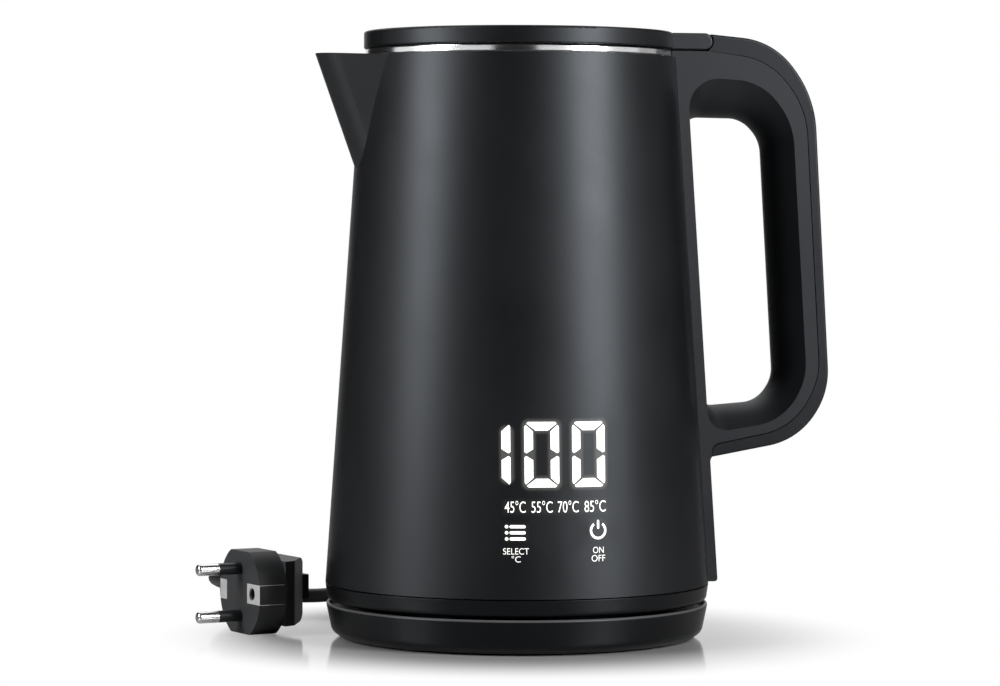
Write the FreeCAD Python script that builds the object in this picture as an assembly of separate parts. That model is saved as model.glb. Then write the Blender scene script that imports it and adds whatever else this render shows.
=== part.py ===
import FreeCAD
import Part
import math
import os

# Electric jug kettle with a V spout, a flat hinged lid and a loop handle, on a swivel power base.
# Millimetres. Origin on the table under the axis of the base, +X to the handle, -Y to the display.

Vec = FreeCAD.Vector
UP = Vec(0, 0, 1)

# Fits
touch_gap = 0.1
slide_gap = 0.3
hinge_clearance = 0.05

# Power base
base_inset = 0.2
base_foot_inset = 5.2
base_shoulder_inset = 2.3
base_shoulder_height = 3.0
base_shoulder_round = 4.0
base_underside = 0.8
base_wall = 2.2
rim_top = 14.2
rim_width = 1.6
rim_round = 0.9
deck_drop = 2.4
plate_thickness = 1.8
plate_inset = 2.1
foot_ring_inset = 10.4
foot_ring_width = 6.0
foot_ring_depth = 0.7
base_screw_inset = 22.4
base_screw_count = 4
base_post_radius = 4.0

# Swivel connector between base and kettle
head_radius = 15.6
head_flange_width = 2.4
head_flange_height = 2.5
head_top = 28.5
slot_inner_radius = 9.2
slot_outer_radius = 11.6
slot_depth = 12.0
centre_hole_radius = 2.6
centre_hole_depth = 13.0
contact_thickness = 0.4
collar_wall = 4.6
collar_floor = 2.0
socket_wall = 3.8
socket_bottom = 13.6
socket_clearance = 0.6
socket_headroom = 2.5

# Screws
screw_radius = 1.4
screw_head_radius = 2.8
screw_head_height = 1.6
screw_recess_width = 0.8
screw_recess_depth = 0.5

# Kettle wall
shell_bottom = 22.2
shell_top = 231.2
shell_bottom_radius = 76.6
shell_top_radius = 62.5
shell_wall = 2.4
top_flange_thickness = 2.4
jacket_gap = 7.6
shell_boss_inset = 7.7
shell_boss_radius = 4.0
shell_boss_top = 40.0

# Bottom cover
skirt_gap = 0.4
skirt_tuck = 1.0
skirt_round = 2.5
cover_floor = 14.9
cover_floor_thickness = 2.6
lip_height = 5.0
lip_thickness = 1.8
ring_foot_inset = 16.4
ring_foot_width = 5.0

# Pot, rim and heater
pot_wall = 0.7
pot_floor = 46.0
pot_corner = 8.0
rim_inset = 1.6
rim_band_wall = 0.8
rim_band_height = 2.7
rim_lift = 0.3
heater_margin = 9.0
heater_thickness = 4.0
element_inset = 10.0
element_radius = 3.5
element_sweep = 300.0
terminal_radius = 2.0
terminal_length = 10.0
sensor_offset = 7.0
sensor_radius = 3.0
sensor_height = 6.0
seal_width = 2.5
seal_height = 2.0

# Spout and strainer
spout_nose_radius = 16.0
spout_half_angle = 35.0
spout_wall = 2.2
spout_overhang = 19.0
spout_drop = 45.0
spout_tip_rise = 0.8
window_lintel = 2.3
spout_seal_width = 3.0
spout_seal_half_width = 22.0
strainer_hole_radius = 1.2
strainer_pitch = 4.6
strainer_columns = 7
strainer_rows = 6
strainer_depth = 12.2
strainer_margin = 3.2

# Lid
lid_gap = 0.2
lid_height = 6.8
lid_inset = 0.9
lid_top_thickness = 2.5
lid_wall = 4.2
lid_top_round = 1.0
lid_bottom_round = 0.6
lid_plug_clearance = 0.975
lid_plug_depth = 9.2
lid_plate_thickness = 0.8
lid_boss_inset = 14.5
lid_boss_radius = 3.5
lid_screw_count = 3
lid_open_angle = 75.0
gasket_depth = 4.7
gasket_height = 3.5
gasket_lip = 2.5

# Lid hinge
hinge_reach = 11.1
hinge_pin_radius = 1.5
hinge_cheek = 7.4
hinge_slot_length = 6.2
ear_margin = 0.3
lug_edge_round = 0.8

# Handle: reaches are measured out from the wall of the kettle at that height
handle_width = 31.0
strap_proud = 2.4
strap_bottom = 22.0
handle_low = 71.5
handle_edge_round = 1.0
cover_end_reach = 3.2
cover_end_round = 4.0
seam_gap = 0.35
grip_channel_half_width = 7.0
grip_channel_wall = 4.5

# Control panel
inlay_depth = 1.0
digit_width = 13.3
digit_height = 24.9
digit_bottom = 64.8
digit_pitch = 18.5
digit_stroke = 3.3
digit_last_x = 12.7
segment_gap = 1.0
segment_corner = 1.5
segment_round = 0.25
icon_height = 47.6
list_left = -18.3
list_bar_length = 6.0
list_bar_stroke = 1.2
list_bar_pitch = 2.32
list_dot_radius = 0.64
list_dot_gap = 1.1
power_x = 16.2
power_lift = 0.5
power_ring_radius = 2.95
power_ring_stroke = 0.9
power_ring_gap = 36.0
power_stem_rise = 0.6
power_stem_length = 3.4
board_width = 42.0
board_height = 60.0
board_bottom = 33.0
board_thickness = 1.6
display_half_width = 19.5
display_margin = 2.5
touch_pad_radius = 4.5

# Mains lead
cord_radius = 3.0
gland_height = 6.4
gland_length = 28.0
gland_root_radius = 4.8
gland_tip_radius = 3.6
gland_neck_radius = 3.1
gland_flange = 2.0
gland_flange_width = 12.0
gland_flange_height = 4.0
gland_flange_setback = 1.5
wire_radius = 0.9
wire_pitch = 2.6
wire_count = 3
coil_offset = Vec(36.0, 63.6, 0)
coil_radius = 36.3
coil_step = 6.6
coil_lift = 4.1
coil_turns_in = 1.0
coil_turns_climb = 0.5
coil_turns_out = 1.25
tie_thickness = 0.8
tie_width = 8.0
tie_gap = 0.3
tie_round = 2.4

# Plug: round face, earth contacts and two sleeved pins
plug_heading = 198.0
plug_clear_of_base = 31.6
plug_forward = 27.0
plug_lift = 0.2
plug_radius = 18.5
plug_half_width = 16.6
plug_face_depth = 12.0
plug_back = 31.0
plug_hood_half_width = 13.0
plug_hood_round = 6.0
plug_neck_length = 21.0
plug_cord_x = -19.5
pin_radius = 2.4
pin_core_radius = 1.9
pin_length = 19.0
pin_sleeve_length = 10.0
pin_pitch = 19.0
pin_root = 8.0
earth_width = 8.0
earth_thickness = 0.8
earth_hole_radius = 2.5
earth_hole_offset = 11.0
relief_length = 26.0
relief_ribs = 4
relief_root_radius = 6.4
relief_tip_radius = 5.2
relief_core_radius = 4.4

# Heights and radii that follow from the sizes above
base_radius = shell_bottom_radius - base_inset
base_foot_radius = base_radius - base_foot_inset
base_shoulder_radius = base_radius - base_shoulder_inset
plate_radius = base_foot_radius - plate_inset
foot_ring_radius = plate_radius - foot_ring_inset
base_screw_circle = plate_radius - base_screw_inset
ring_foot_radius = base_radius - ring_foot_inset
skirt_bottom_radius = shell_bottom_radius - skirt_tuck
shell_boss_circle = shell_bottom_radius - shell_wall - shell_boss_inset
head_flange_radius = head_radius + head_flange_width
socket_outer_radius = head_radius + socket_clearance + socket_wall
sensor_circle = socket_outer_radius + sensor_offset
rim_radius = shell_top_radius - rim_inset
lid_radius = shell_top_radius - lid_inset
spout_reach = shell_top_radius + spout_overhang
deck = rim_top - deck_drop
deck_under = deck - base_wall
plate_top = base_underside + plate_thickness
skirt_top = shell_bottom - skirt_gap
cover_floor_top = cover_floor + cover_floor_thickness
rim_bottom = shell_top + rim_lift
rim_height = rim_bottom + rim_band_height
lid_bottom = rim_height + lid_gap
lid_top = lid_bottom + lid_height
pivot_x = lid_radius + hinge_reach
pivot_z = (lid_bottom + lid_top) / 2
lug_radius = lid_height / 2
heater_bottom = pot_floor - heater_thickness
socket_roof = head_top + socket_headroom
head_bottom = plate_top + collar_floor + slide_gap
taper = (shell_bottom_radius - shell_top_radius) / (shell_top - shell_bottom)
taper_angle = math.degrees(math.atan(taper))
spout_slope = (spout_reach - (shell_top_radius + taper * spout_drop)) / spout_drop


def shell_radius(z):
    return shell_bottom_radius - taper * (z - shell_bottom)


def pot_radius(z):
    return shell_radius(z) - shell_wall - jacket_gap


heater_radius = pot_radius(pot_floor) - pot_corner - heater_margin
element_circle = heater_radius - element_inset
gasket_low = shell_top - gasket_depth
gasket_lip_height = gasket_low + gasket_height * 0.6
lid_plug_radius = pot_radius(gasket_lip_height) - pot_wall - gasket_lip - lid_plug_clearance
lid_plug_bottom = shell_top - lid_plug_depth
lid_boss_circle = lid_plug_radius - lid_boss_inset
strainer_top = shell_top - strainer_depth
gland_tip = Vec(0, base_radius + gland_length, gland_height)
coil_centre = Vec(gland_tip.x, gland_tip.y, 0) + coil_offset
plug_place = FreeCAD.Placement(Vec(-base_radius - plug_clear_of_base, plug_forward, plug_half_width + plug_lift),
                               FreeCAD.Rotation(UP, plug_heading))
plug_tail = plug_place.multVec(Vec(plug_cord_x, -plug_neck_length - relief_length, 0))


# Helpers for outlines and solids

def side(a, b):
    return Vec(a, 0, b)


def plan(a, b):
    return Vec(a, b, 0)


def arc_edge(start, corner, end):
    """Arc from start to end that touches the two lines to the corner."""
    middle = (start + end) / 2
    weight = math.cos((corner - start).getAngle(end - start))
    return Part.Arc(start, middle + (corner - middle) * (weight / (1 + weight)), end).toShape()


def outline(corners, place):
    """Closed wire of straight sides, with each corner (a, b, radius) rounded by its radius."""
    points = [place(a, b) for a, b, radius in corners]
    ends = []
    for i, (a, b, radius) in enumerate(corners):
        here = points[i]
        back = points[i - 1] - here
        on = points[(i + 1) % len(points)] - here
        reach = radius / math.tan(back.getAngle(on) / 2)
        ends.append((here + back.normalize() * reach, here, here + on.normalize() * reach))
    edges = []
    for i, (start, corner, end) in enumerate(ends):
        if corners[i][2] > 0:
            edges.append(arc_edge(start, corner, end))
        following = ends[(i + 1) % len(ends)][0]
        if (following - end).Length > 1e-6:
            edges.append(Part.LineSegment(end, following).toShape())
    return Part.Wire(Part.__sortEdges__(edges))


def turned(corners):
    return Part.Face(outline(corners, side)).revolve(Vec(0, 0, 0), UP, 360)


def prism(corners, place, start, travel):
    face = Part.Face(outline(corners, place))
    face.translate(start)
    return face.extrude(travel)


def across(corners, half_width):
    """Prism of a side outline, centred on the middle plane of the kettle."""
    return prism(corners, side, Vec(0, -half_width, 0), Vec(0, 2 * half_width, 0))


def rod(radius, start, end):
    return Part.makeCylinder(radius, (end - start).Length, start, end - start)


def ring(inner, outer, low, high):
    return turned([(inner, low, 0), (outer, low, 0), (outer, high, 0), (inner, high, 0)])


def block(low, high):
    return Part.makeBox(high.x - low.x, high.y - low.y, high.z - low.z, low)


def on_circle(radius, degrees, z):
    angle = math.radians(degrees)
    return Vec(radius * math.cos(angle), radius * math.sin(angle), z)


def spaced(count, first=0.0):
    return [first + 360.0 * i / count for i in range(count)]


def screw(seat, tip, head_height=screw_head_height):
    """Pan-head screw with a cross recess; its head lies behind the seat and its shank ends at the tip."""
    length = (tip - seat).Length
    head = rod(screw_head_radius, Vec(0, 0, -head_height), Vec(0, 0, 0))
    solid = head.fuse(rod(screw_radius, Vec(0, 0, 0), UP * length)).removeSplitter()
    reach, half = screw_head_radius * 0.62, screw_recess_width / 2
    depth = -head_height + screw_recess_depth
    solid = solid.cut([block(Vec(-reach, -half, -head_height - 1), Vec(reach, half, depth)),
                       block(Vec(-half, -reach, -head_height - 1), Vec(half, reach, depth))])
    solid.Placement = FreeCAD.Placement(seat, FreeCAD.Rotation(UP, tip - seat))
    return solid


def kettle_cone(inset, low, high):
    """Solid cone that follows the kettle's wall, set in by the inset."""
    return Part.makeCone(shell_radius(low) - inset, shell_radius(high) - inset, high - low, Vec(0, 0, low))


def keep(name, *solids):
    shape = solids[0] if len(solids) == 1 else Part.makeCompound(list(solids))
    shape.exportStep("parts/" + name + ".step")


# Power base

def base_screw_places():
    return [on_circle(base_screw_circle, angle, 0) for angle in spaced(base_screw_count, 45.0)]


def base_screw_seat():
    return base_underside + plate_thickness / 2


def base_housing():
    wall_inner = base_shoulder_radius - base_wall
    skin = turned([
        (base_foot_radius, base_underside, 1.5),
        (base_shoulder_radius, base_shoulder_height, base_shoulder_round),
        (base_radius, rim_top, rim_round),
        (base_radius - rim_width, rim_top, rim_width - rim_round - touch_gap),
        (base_radius - rim_width, deck, 0.5),
        (head_radius + socket_clearance, deck, 0),
        (head_radius + socket_clearance, deck_under, 0),
        (wall_inner, deck_under, 0),
        (wall_inner, base_shoulder_height, 0),
        (plate_radius + slide_gap, plate_top, 0),
        (plate_radius + slide_gap, base_underside, 0),
    ])
    posts = []
    pilots = []
    for place in base_screw_places():
        posts.append(rod(base_post_radius, place + UP * plate_top, place + UP * deck))
        pilots.append(rod(screw_radius, place, place + UP * deck_under))
    way_out = rod(gland_neck_radius, Vec(0, wall_inner - base_wall, gland_height),
                  Vec(0, base_radius, gland_height))
    return skin.fuse(posts).cut(pilots + [way_out]).removeSplitter()


def base_plate():
    plate = ring(0.001, plate_radius, base_underside, plate_top)
    groove = ring(foot_ring_radius - foot_ring_width, foot_ring_radius,
                  base_underside, base_underside + foot_ring_depth)
    seats = []
    for place in base_screw_places():
        seats.append(rod(screw_radius + touch_gap, place, place + UP * plate_top))
        seats.append(rod(screw_head_radius + slide_gap, place, place + UP * base_screw_seat()))
    return plate.cut([groove] + seats)


def base_screws():
    solids = []
    for place in base_screw_places():
        seat = place + UP * base_screw_seat()
        solids.append(screw(seat, place + UP * (deck_under - slide_gap), screw_head_height / 2))
    return solids


def connector_head():
    return turned([
        (centre_hole_radius, head_bottom, 0),
        (head_flange_radius, head_bottom, 0),
        (head_flange_radius, head_bottom + head_flange_height, 0),
        (head_radius, head_bottom + head_flange_height, 0),
        (head_radius, head_top, 1.2),
        (slot_outer_radius, head_top, 0),
        (slot_outer_radius, head_top - slot_depth, 0),
        (slot_inner_radius, head_top - slot_depth, 0),
        (slot_inner_radius, head_top, 0.6),
        (centre_hole_radius, head_top, 0),
    ]).fuse(ring(0.001, centre_hole_radius, head_bottom, head_top - centre_hole_depth)).removeSplitter()


def head_contacts():
    outer = ring(slot_outer_radius - contact_thickness, slot_outer_radius,
                 head_top - slot_depth, head_top - contact_thickness)
    inner = ring(centre_hole_radius - contact_thickness, centre_hole_radius,
                 head_top - centre_hole_depth, head_top - contact_thickness)
    return [outer, inner]


def connector_collar():
    inner = head_flange_radius + slide_gap
    return turned([
        (0, plate_top, 0),
        (inner + collar_wall, plate_top, 0),
        (inner + collar_wall, deck_under, 0),
        (inner, deck_under, 0),
        (inner, plate_top + collar_floor, 0),
        (0, plate_top + collar_floor, 0),
    ])


def base_wires():
    start = head_flange_radius + slide_gap + collar_wall + touch_gap
    end = gland_flange_end() - gland_flange
    solids = []
    for i in range(wire_count):
        x = wire_pitch * (i - (wire_count - 1) / 2)
        solids.append(rod(wire_radius, Vec(x, start, gland_height), Vec(x, end, gland_height)))
    return solids


# Mains lead

def gland_flange_end():
    return base_shoulder_radius - base_wall - gland_flange_setback


def cord_gland():
    centre = Vec(0, gland_flange_end(), gland_height)
    half = Vec(gland_flange_width / 2, 0, gland_flange_height / 2)
    flange = block(centre - half - Vec(0, gland_flange, 0), centre + half)
    root = Vec(0, base_radius + touch_gap, gland_height)
    neck = rod(gland_neck_radius - touch_gap, centre, root)
    sleeve = Part.makeCone(gland_root_radius, gland_tip_radius, gland_length - touch_gap, root, Vec(0, 1, 0))
    return flange.fuse([neck, sleeve]).removeSplitter()


def tube(edges, start, heading, radius):
    """Round cord along a wire of lines and arcs."""
    circle = Part.Wire(Part.Circle(start, heading, radius).toShape())
    path = Part.Wire(edges)
    solid = path.makePipeShell([circle], True, False)
    print("  cord: length %.1f, volume against section times length %.4f"
          % (path.Length, solid.Volume / (math.pi * radius ** 2 * path.Length)))
    return solid


def cord_run(points):
    """Cord along straight runs, with the largest arc that each pair of runs allows."""
    edges = []
    radii = []
    at = points[0]
    for before, here, after in zip(points, points[1:], points[2:]):
        back = before - here
        on = after - here
        reach = 0.45 * min(back.Length, on.Length)
        radii.append(reach / math.tan((math.pi - back.getAngle(on)) / 2))
        start = here + back.normalize() * reach
        end = here + on.normalize() * reach
        edges.append(Part.LineSegment(at, start).toShape())
        edges.append(arc_edge(start, here, end))
        at = end
    edges.append(Part.LineSegment(at, points[-1]).toShape())
    print("  bend radii:", [round(r, 1) for r in radii])
    return tube(edges, points[0], points[1] - points[0], cord_radius)


def coil_point(turn):
    """Middle of the cord after this many turns: in on the floor, up a layer, then out on top."""
    climb_end = coil_turns_in + coil_turns_climb
    share = min(max((turn - coil_turns_in) / coil_turns_climb, 0.0), 1.0)
    radius = coil_radius - coil_step * min(turn, coil_turns_in)
    radius -= coil_step * coil_turns_climb * share * (1 - share)
    radius += coil_step * max(turn - climb_end, 0.0)
    height = coil_lift + coil_step * share ** 2 * (3 - 2 * share)
    angle = math.pi - 2 * math.pi * turn
    return coil_centre + Vec(radius * math.cos(angle), radius * math.sin(angle), height)


def coil_heading(turn):
    small = 1e-4
    return (coil_point(turn + small) - coil_point(turn - small)).normalize()


def biarc(start, start_heading, end, end_heading):
    """Two arcs that join two points and keep the heading at both."""
    chord = end - start
    both = start_heading + end_heading
    bend = 2 * (1 - start_heading.dot(end_heading))
    along = chord.dot(both)
    reach = (-along + math.sqrt(along ** 2 + bend * chord.dot(chord))) / bend
    first = start + start_heading * reach
    second = end - end_heading * reach
    joint = (first + second) / 2
    return [arc_edge(start, first, joint), arc_edge(joint, second, end)]


coil_turns = coil_turns_in + coil_turns_climb + coil_turns_out
coil_tail = 2 * cord_radius
coil_start = coil_point(0) - coil_heading(0) * coil_tail
coil_end = coil_point(coil_turns) + coil_heading(coil_turns) * coil_tail


def coil_least_gap():
    """Least clear distance between stretches of the coil that are over a third of a turn apart."""
    steps = 80
    points = [coil_point(i / steps) for i in range(int(coil_turns * steps) + 1)]
    apart = steps // 3
    least = min((a - b).Length for i, a in enumerate(points) for b in points[i + apart:])
    return least - 2 * cord_radius


def cord_coil():
    quarters = [i / 4 for i in range(int(coil_turns * 4) + 1)]
    edges = [Part.LineSegment(coil_start, coil_point(0)).toShape()]
    for a, b in zip(quarters, quarters[1:]):
        edges += biarc(coil_point(a), coil_heading(a), coil_point(b), coil_heading(b))
    edges.append(Part.LineSegment(coil_point(coil_turns), coil_end).toShape())
    print("  coil: least gap to itself %.2f" % coil_least_gap())
    return tube(edges, coil_start, coil_heading(0), cord_radius)


def coil_tie():
    """Flat band round the bundle, at the side away from where the cord comes in."""
    inner = coil_radius - coil_step - cord_radius - tie_gap
    outer = coil_radius + cord_radius + tie_gap
    low = coil_lift - cord_radius - tie_gap
    high = coil_lift + coil_step + cord_radius + tie_gap
    t = tie_thickness
    loop = [(inner, low, tie_round), (outer, low, tie_round), (outer, high, tie_round), (inner, high, tie_round)]
    rim = [(inner - t, low - t, tie_round + t), (outer + t, low - t, tie_round + t),
           (outer + t, high + t, tie_round + t), (inner - t, high + t, tie_round + t)]
    band = across(rim, tie_width / 2).cut(across(loop, tie_width))
    tail = block(Vec(inner + 2, -tie_width / 2, high + t), Vec(outer - 3, tie_width / 2, high + 2 * t))
    band = band.fuse(tail).removeSplitter()
    band.translate(coil_centre)
    return band


def cord_runs():
    """The lead from the gland to the coil, and from the coil over the first run and round to the plug."""
    tip = Vec(gland_tip.x, gland_tip.y, 0)
    tail = Vec(plug_tail.x, plug_tail.y, 0)
    plug_way = plug_place.Rotation.multVec(Vec(0, -1, 0))
    to_coil = [gland_tip, tip + Vec(0, 7.6, 6.3), tip + Vec(-0.2, 16.6, 4.5), tip + Vec(-0.6, 31.6, 4.1),
               coil_start - coil_heading(0) * 14, coil_start]
    to_plug = [coil_end, coil_end + coil_heading(coil_turns) * 16, tip + Vec(-10, 25.5, 11.0),
               tip + Vec(-34, 27, 6.6), tip + Vec(-59, 29.8, 3.3), tail + Vec(24.5, 55.8, 4.8),
               tail + Vec(8.5, 47.6, 9.0), tail + Vec(-2.6, 33.9, 13.8), plug_tail + plug_way * 17.5, plug_tail]
    return cord_run(to_coil), cord_run(to_plug)


# Plug, modelled with its face on X = 0, its pins along +X and its lead along -Y

def pin_heights():
    return [-pin_pitch / 2, pin_pitch / 2]


def plug_body():
    face = rod(plug_radius, Vec(-plug_face_depth, 0, 0), Vec(0, 0, 0))
    flats = block(Vec(-plug_face_depth, -plug_radius, -plug_half_width), Vec(0, plug_radius, plug_half_width))
    hood_corners = [
        (-plug_face_depth, 17.0, 0),
        (-plug_face_depth - 5, 15.0, 4.0),
        (-plug_back, -5.0, 8.0),
        (-plug_back, -plug_neck_length, 2.0),
        (-plug_face_depth + 3, -plug_neck_length, 2.0),
        (-plug_face_depth + 3, -10.0, 0),
        (-plug_face_depth, -10.0, 0),
    ]
    hood = prism(hood_corners, plan, Vec(0, 0, -plug_hood_half_width), UP * (2 * plug_hood_half_width))
    half = plug_hood_half_width
    front = -plug_face_depth + 3
    rounded = [(front, -half, 0), (-plug_back, -half, plug_hood_round),
               (-plug_back, half, plug_hood_round), (front, half, 0)]
    hood = hood.common(across(rounded, plug_radius * 2))
    tab = block(Vec(-plug_back - 3.5, -15, -5), Vec(-plug_back + 2, -7, 5))
    slot = block(Vec(-plug_back - 2, -13.5, -6), Vec(-plug_back - 0.5, -8.5, 6))
    guides = [block(Vec(-plug_face_depth, -4, z - 1), Vec(-4, 4, z + 1))
              for z in (-plug_half_width + 1, plug_half_width - 1)]
    body = face.common(flats).fuse([hood, tab] + guides).cut(slot)
    holes = [rod(pin_core_radius, Vec(-pin_root, 0, z), Vec(1, 0, z)) for z in pin_heights()]
    earth_socket = rod(earth_hole_radius, Vec(-plug_face_depth / 2, earth_hole_offset, 0),
                       Vec(1, earth_hole_offset, 0))
    return body.cut(holes + [earth_socket] + [c for c in earth_contacts()]).removeSplitter()


def earth_contacts():
    """Two bent strips let into the rim of the face; the upper one has the hole for a socket's pin."""
    half = earth_width / 2
    t = earth_thickness
    solids = []
    for turn in (1, -1):
        top = plug_radius - 0.4
        length = 6.0 if turn < 0 else plug_radius - earth_hole_offset + earth_hole_radius + 1.5
        along = block(Vec(-plug_face_depth + 1, top - t, -half), Vec(0, top, half))
        down = block(Vec(-t, top - length, -half), Vec(0, top, half))
        strip = along.fuse(down).removeSplitter()
        if turn > 0:
            strip = strip.cut(rod(earth_hole_radius, Vec(-2, earth_hole_offset, 0), Vec(2, earth_hole_offset, 0)))
        else:
            strip.rotate(Vec(0, 0, 0), Vec(1, 0, 0), 180)
        solids.append(strip)
    return solids


def plug_pins():
    solids = []
    for z in pin_heights():
        core = rod(pin_core_radius, Vec(-pin_root, 0, z), Vec(pin_sleeve_length, 0, z))
        tip = rod(pin_radius, Vec(pin_sleeve_length, 0, z), Vec(pin_length, 0, z))
        tip = tip.makeFillet(1.2, [e for e in tip.Edges if abs(e.BoundBox.XMin - pin_length) < 1e-6])
        solids.append(core.fuse(tip).removeSplitter())
    return solids


def plug_sleeves():
    return [rod(pin_radius, Vec(0, 0, z), Vec(pin_sleeve_length, 0, z)).cut(
        rod(pin_core_radius, Vec(-1, 0, z), Vec(pin_sleeve_length + 1, 0, z))) for z in pin_heights()]


def plug_relief():
    """Tapered relief with a rib on each step and a collar at its end."""
    pitch = relief_length / (relief_ribs + 1.5)
    corners = [(0, 0, 0), (relief_core_radius, 0, 0)]
    for i in range(relief_ribs):
        share = i / relief_ribs
        radius = relief_root_radius + (relief_tip_radius - relief_root_radius) * share
        low = pitch * (i + 0.45)
        corners += [(relief_core_radius, low, 0), (radius, low, 0.4),
                    (radius, low + pitch * 0.5, 0.4), (relief_core_radius, low + pitch * 0.5, 0)]
    collar = relief_length - pitch * 1.1
    corners += [(relief_core_radius, collar, 0), (relief_tip_radius, collar, 0.5),
                (relief_tip_radius, relief_length, 1.0), (0, relief_length, 0)]
    solid = turned(corners)
    solid.rotate(Vec(0, 0, 0), Vec(1, 0, 0), 90)
    solid.translate(Vec(plug_cord_x, -plug_neck_length, 0))
    return solid


def on_table(shape):
    shape.Placement = plug_place.multiply(shape.Placement)
    return shape


# Spout

def spout_prism(inset):
    """Rounded V that leans out from the wall up to the tip, set in by the inset."""
    spread = math.tan(math.radians(spout_half_angle))
    nose = spout_nose_radius - inset
    start = shell_top + 10.0
    reach = spout_reach + spout_slope * (start - shell_top)
    apex = reach - spout_nose_radius + (spout_nose_radius - inset) / math.sin(math.radians(spout_half_angle))
    back = pot_radius(shell_top) - 8.0
    half = (apex - back) * spread
    drop = spout_drop + 30.0
    return prism([(-apex, 0, nose), (-back, -half, 0), (-back, half, 0)], plan,
                 UP * start, Vec(spout_slope * drop, 0, -drop))


def spout_top_plane():
    """Everything above the spout's mouth, which rises a little to the tip."""
    run = spout_reach - shell_top_radius
    tilt = math.degrees(math.atan(spout_tip_rise / run))
    above = block(Vec(-200, -60, shell_top), Vec(0, 60, shell_top + 40))
    above.rotate(Vec(-shell_top_radius, 0, shell_top), Vec(0, 1, 0), tilt)
    return above


def spout_window_top():
    return shell_top - top_flange_thickness - window_lintel


# Kettle wall

def shell_boss_angles():
    return spaced(3, 60.0)


def shell_skin():
    outer = kettle_cone(0, shell_bottom, shell_top)
    spout = spout_prism(0).cut([spout_top_plane(), kettle_cone(shell_wall, 0, shell_top + 30)])
    spout = spout.common(block(Vec(-200, -60, shell_bottom + 20), Vec(-20, 60, shell_top + 20)))
    skin = outer.fuse(spout)
    inside = kettle_cone(shell_wall, shell_bottom - 1, shell_top - top_flange_thickness)
    inside = inside.fuse(kettle_cone(shell_wall, shell_bottom - 2, shell_bottom))
    mouth = rod(pot_radius(shell_top) + slide_gap * 2, UP * (shell_top - 20), UP * (shell_top + 20))
    channel = spout_prism(spout_wall)
    outside = channel.cut(kettle_cone(0, 0, shell_top + 30))
    window = channel.common(block(Vec(-200, -60, 0), Vec(0, 60, spout_window_top())))
    return skin.cut([inside, mouth, outside, window])


def shell_bosses():
    solids = []
    for angle in shell_boss_angles():
        foot = on_circle(shell_boss_circle, angle, cover_floor_top + touch_gap)
        post = rod(shell_boss_radius, foot, Vec(foot.x, foot.y, shell_boss_top))
        low = skirt_top + lip_height + 1.5
        web = block(Vec(shell_boss_circle, -1.5, low), Vec(shell_bottom_radius, 1.5, shell_boss_top))
        web.rotate(Vec(0, 0, 0), UP, angle)
        solids.append(post.fuse(web.common(kettle_cone(shell_wall / 2, 0, shell_top))))
    return solids


def outer_shell(inlays):
    pilots = [rod(screw_radius, on_circle(shell_boss_circle, angle, 0),
                  on_circle(shell_boss_circle, angle, shell_boss_top - 4)) for angle in shell_boss_angles()]
    holes = []
    for seat, tip in handle_screw_lines():
        holes.append(rod(screw_radius + touch_gap, seat, tip))
        holes.append(rod(screw_head_radius + slide_gap, seat, seat - Vec(4, 0, 0)))
    return shell_skin().fuse(shell_bosses()).cut(pilots + holes + inlays).removeSplitter()


def bottom_cover():
    lip_radius = shell_radius(skirt_top + lip_height) - shell_wall - touch_gap
    ring_bottom = deck + touch_gap
    cover = turned([
        (skirt_bottom_radius, cover_floor, skirt_round),
        (shell_bottom_radius, skirt_top, 0.3),
        (lip_radius, skirt_top, 0),
        (lip_radius, skirt_top + lip_height, 0.4),
        (lip_radius - lip_thickness, skirt_top + lip_height, 0.4),
        (lip_radius - lip_thickness, cover_floor_top, 1.0),
        (socket_outer_radius + socket_clearance, cover_floor_top, 0),
        (socket_outer_radius + socket_clearance, cover_floor, 0),
        (ring_foot_radius - ring_foot_width, cover_floor, 0),
        (ring_foot_radius - ring_foot_width, ring_bottom, 0.6),
        (ring_foot_radius, ring_bottom, 0.6),
        (ring_foot_radius, cover_floor, 0),
    ])
    holes = []
    for angle in shell_boss_angles():
        place = on_circle(shell_boss_circle, angle, 0)
        holes.append(rod(screw_radius + touch_gap, place, place + UP * shell_boss_top))
        holes.append(rod(screw_head_radius + slide_gap, place, place + UP * bottom_screw_seat()))
    return cover.cut(holes)


def bottom_screw_seat():
    return cover_floor + screw_head_height


def bottom_screws():
    return [screw(on_circle(shell_boss_circle, angle, bottom_screw_seat()),
                  on_circle(shell_boss_circle, angle, shell_boss_top - 8)) for angle in shell_boss_angles()]


# Pot, strainer, rim and heater

def pot_top():
    return rim_height - rim_band_wall


def pot_cup():
    inner_floor = pot_floor + pot_wall
    return turned([
        (0, pot_floor, 0),
        (pot_radius(pot_floor), pot_floor, pot_corner),
        (pot_radius(pot_top()), pot_top(), 0),
        (pot_radius(pot_top()) - pot_wall, pot_top(), 0),
        (pot_radius(inner_floor) - pot_wall, inner_floor, pot_corner - pot_wall),
        (0, inner_floor, 0),
    ])


def strainer_space(inset):
    """Block round the pattern of strainer holes, set in by the inset."""
    half = strainer_pitch * (strainer_columns - 1) / 2 + strainer_margin - inset
    top = strainer_top + strainer_margin - inset
    foot = strainer_top - strainer_pitch * (strainer_rows - 1) - strainer_margin + inset
    return block(Vec(-shell_bottom_radius, -half, foot), Vec(-10, half, top))


def inner_pot():
    sensor_hole = rod(sensor_radius + touch_gap, Vec(sensor_circle, 0, 0), Vec(sensor_circle, 0, pot_floor + 5))
    return pot_cup().cut([strainer_space(0), sensor_hole])


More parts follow.
